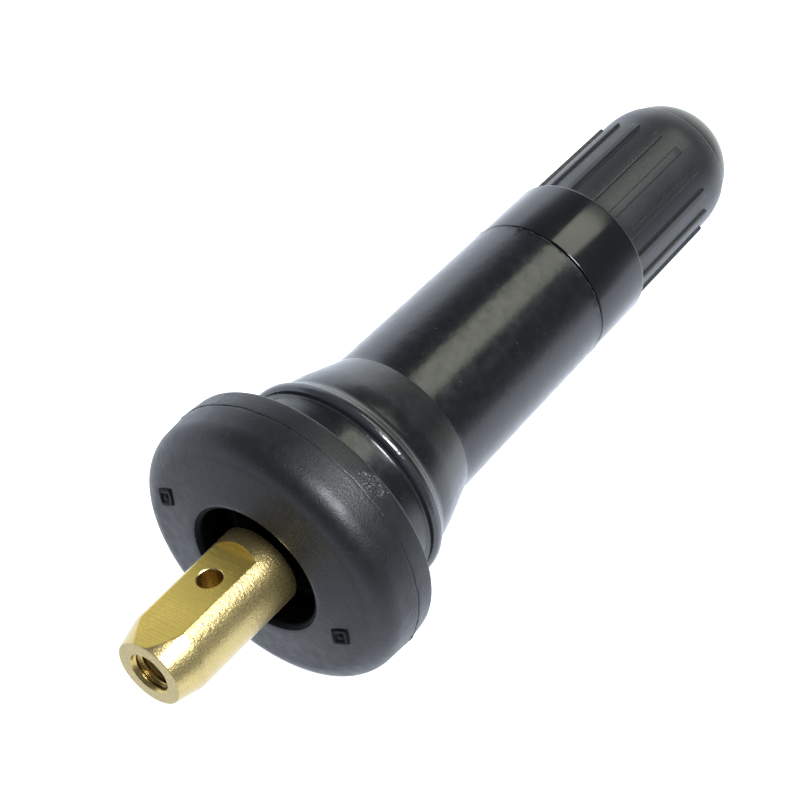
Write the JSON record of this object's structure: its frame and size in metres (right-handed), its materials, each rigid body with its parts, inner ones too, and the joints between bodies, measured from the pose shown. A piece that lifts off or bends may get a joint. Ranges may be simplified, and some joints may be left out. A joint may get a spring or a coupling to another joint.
{
  "type": "tyre valve",
  "caption": "Snap-in rubber tyre valve with a flatted brass sensor end, a spring-loaded valve core inside its stem and a ribbed screw cap.",
  "frame": {"origin": "on the valve's axis, in the middle of the groove that takes the wheel rim", "axes": "+X along the valve towards the cap, +Z square to one of the two milled flats of the brass"},
  "size_m": [0.0589, 0.0194, 0.0194],
  "materials": {
    "rubber": "moulded black rubber, satin with a soft sheen",
    "stem_brass": "turned and milled brass, dull, with fine tool marks",
    "core_brass": "bright turned brass",
    "red_seal": "smooth red sealing ring",
    "black_seal": "matt black rubber",
    "spring_steel": "drawn spring wire",
    "cap_plastic": "moulded black plastic, satin"
  },
  "bodies": {
    "valve": {"rubber_body": "rubber", "stem": "stem_brass", "core_plug": "core_brass", "core_barrel": "core_brass", "barrel_seal": "red_seal", "core_spring": "spring_steel"},
    "pin": {"core_pin": "core_brass", "core_cup": "core_brass", "cup_seal": "black_seal"},
    "cap_washer": {"cap_seal": "black_seal"},
    "cap": {"cap_shell": "cap_plastic"}
  },
  "joints": [
    {"name": "pin_press", "type": "slide", "parent": "valve", "child": "pin", "axis": [-1, 0, 0], "range_m": [0, 0.0015], "stiffness_N_per_m": 800, "springref_m": -0.004, "deforming": ["core_spring"]},
    {"name": "cap_lift", "type": "slide", "parent": "valve", "child": "cap_washer", "axis": [1, 0, 0], "range_m": [0, 0.00953]},
    {"name": "cap_turn", "type": "hinge", "parent": "cap_washer", "child": "cap", "pos_m": [0.03, 0, 0], "axis": [1, 0, 0], "range_deg": [0, 4321]}
  ],
  "couplings": [
    {"joint": "cap_turn", "follows": "cap_lift", "rad_per_m": 7915.8}
  ]
}
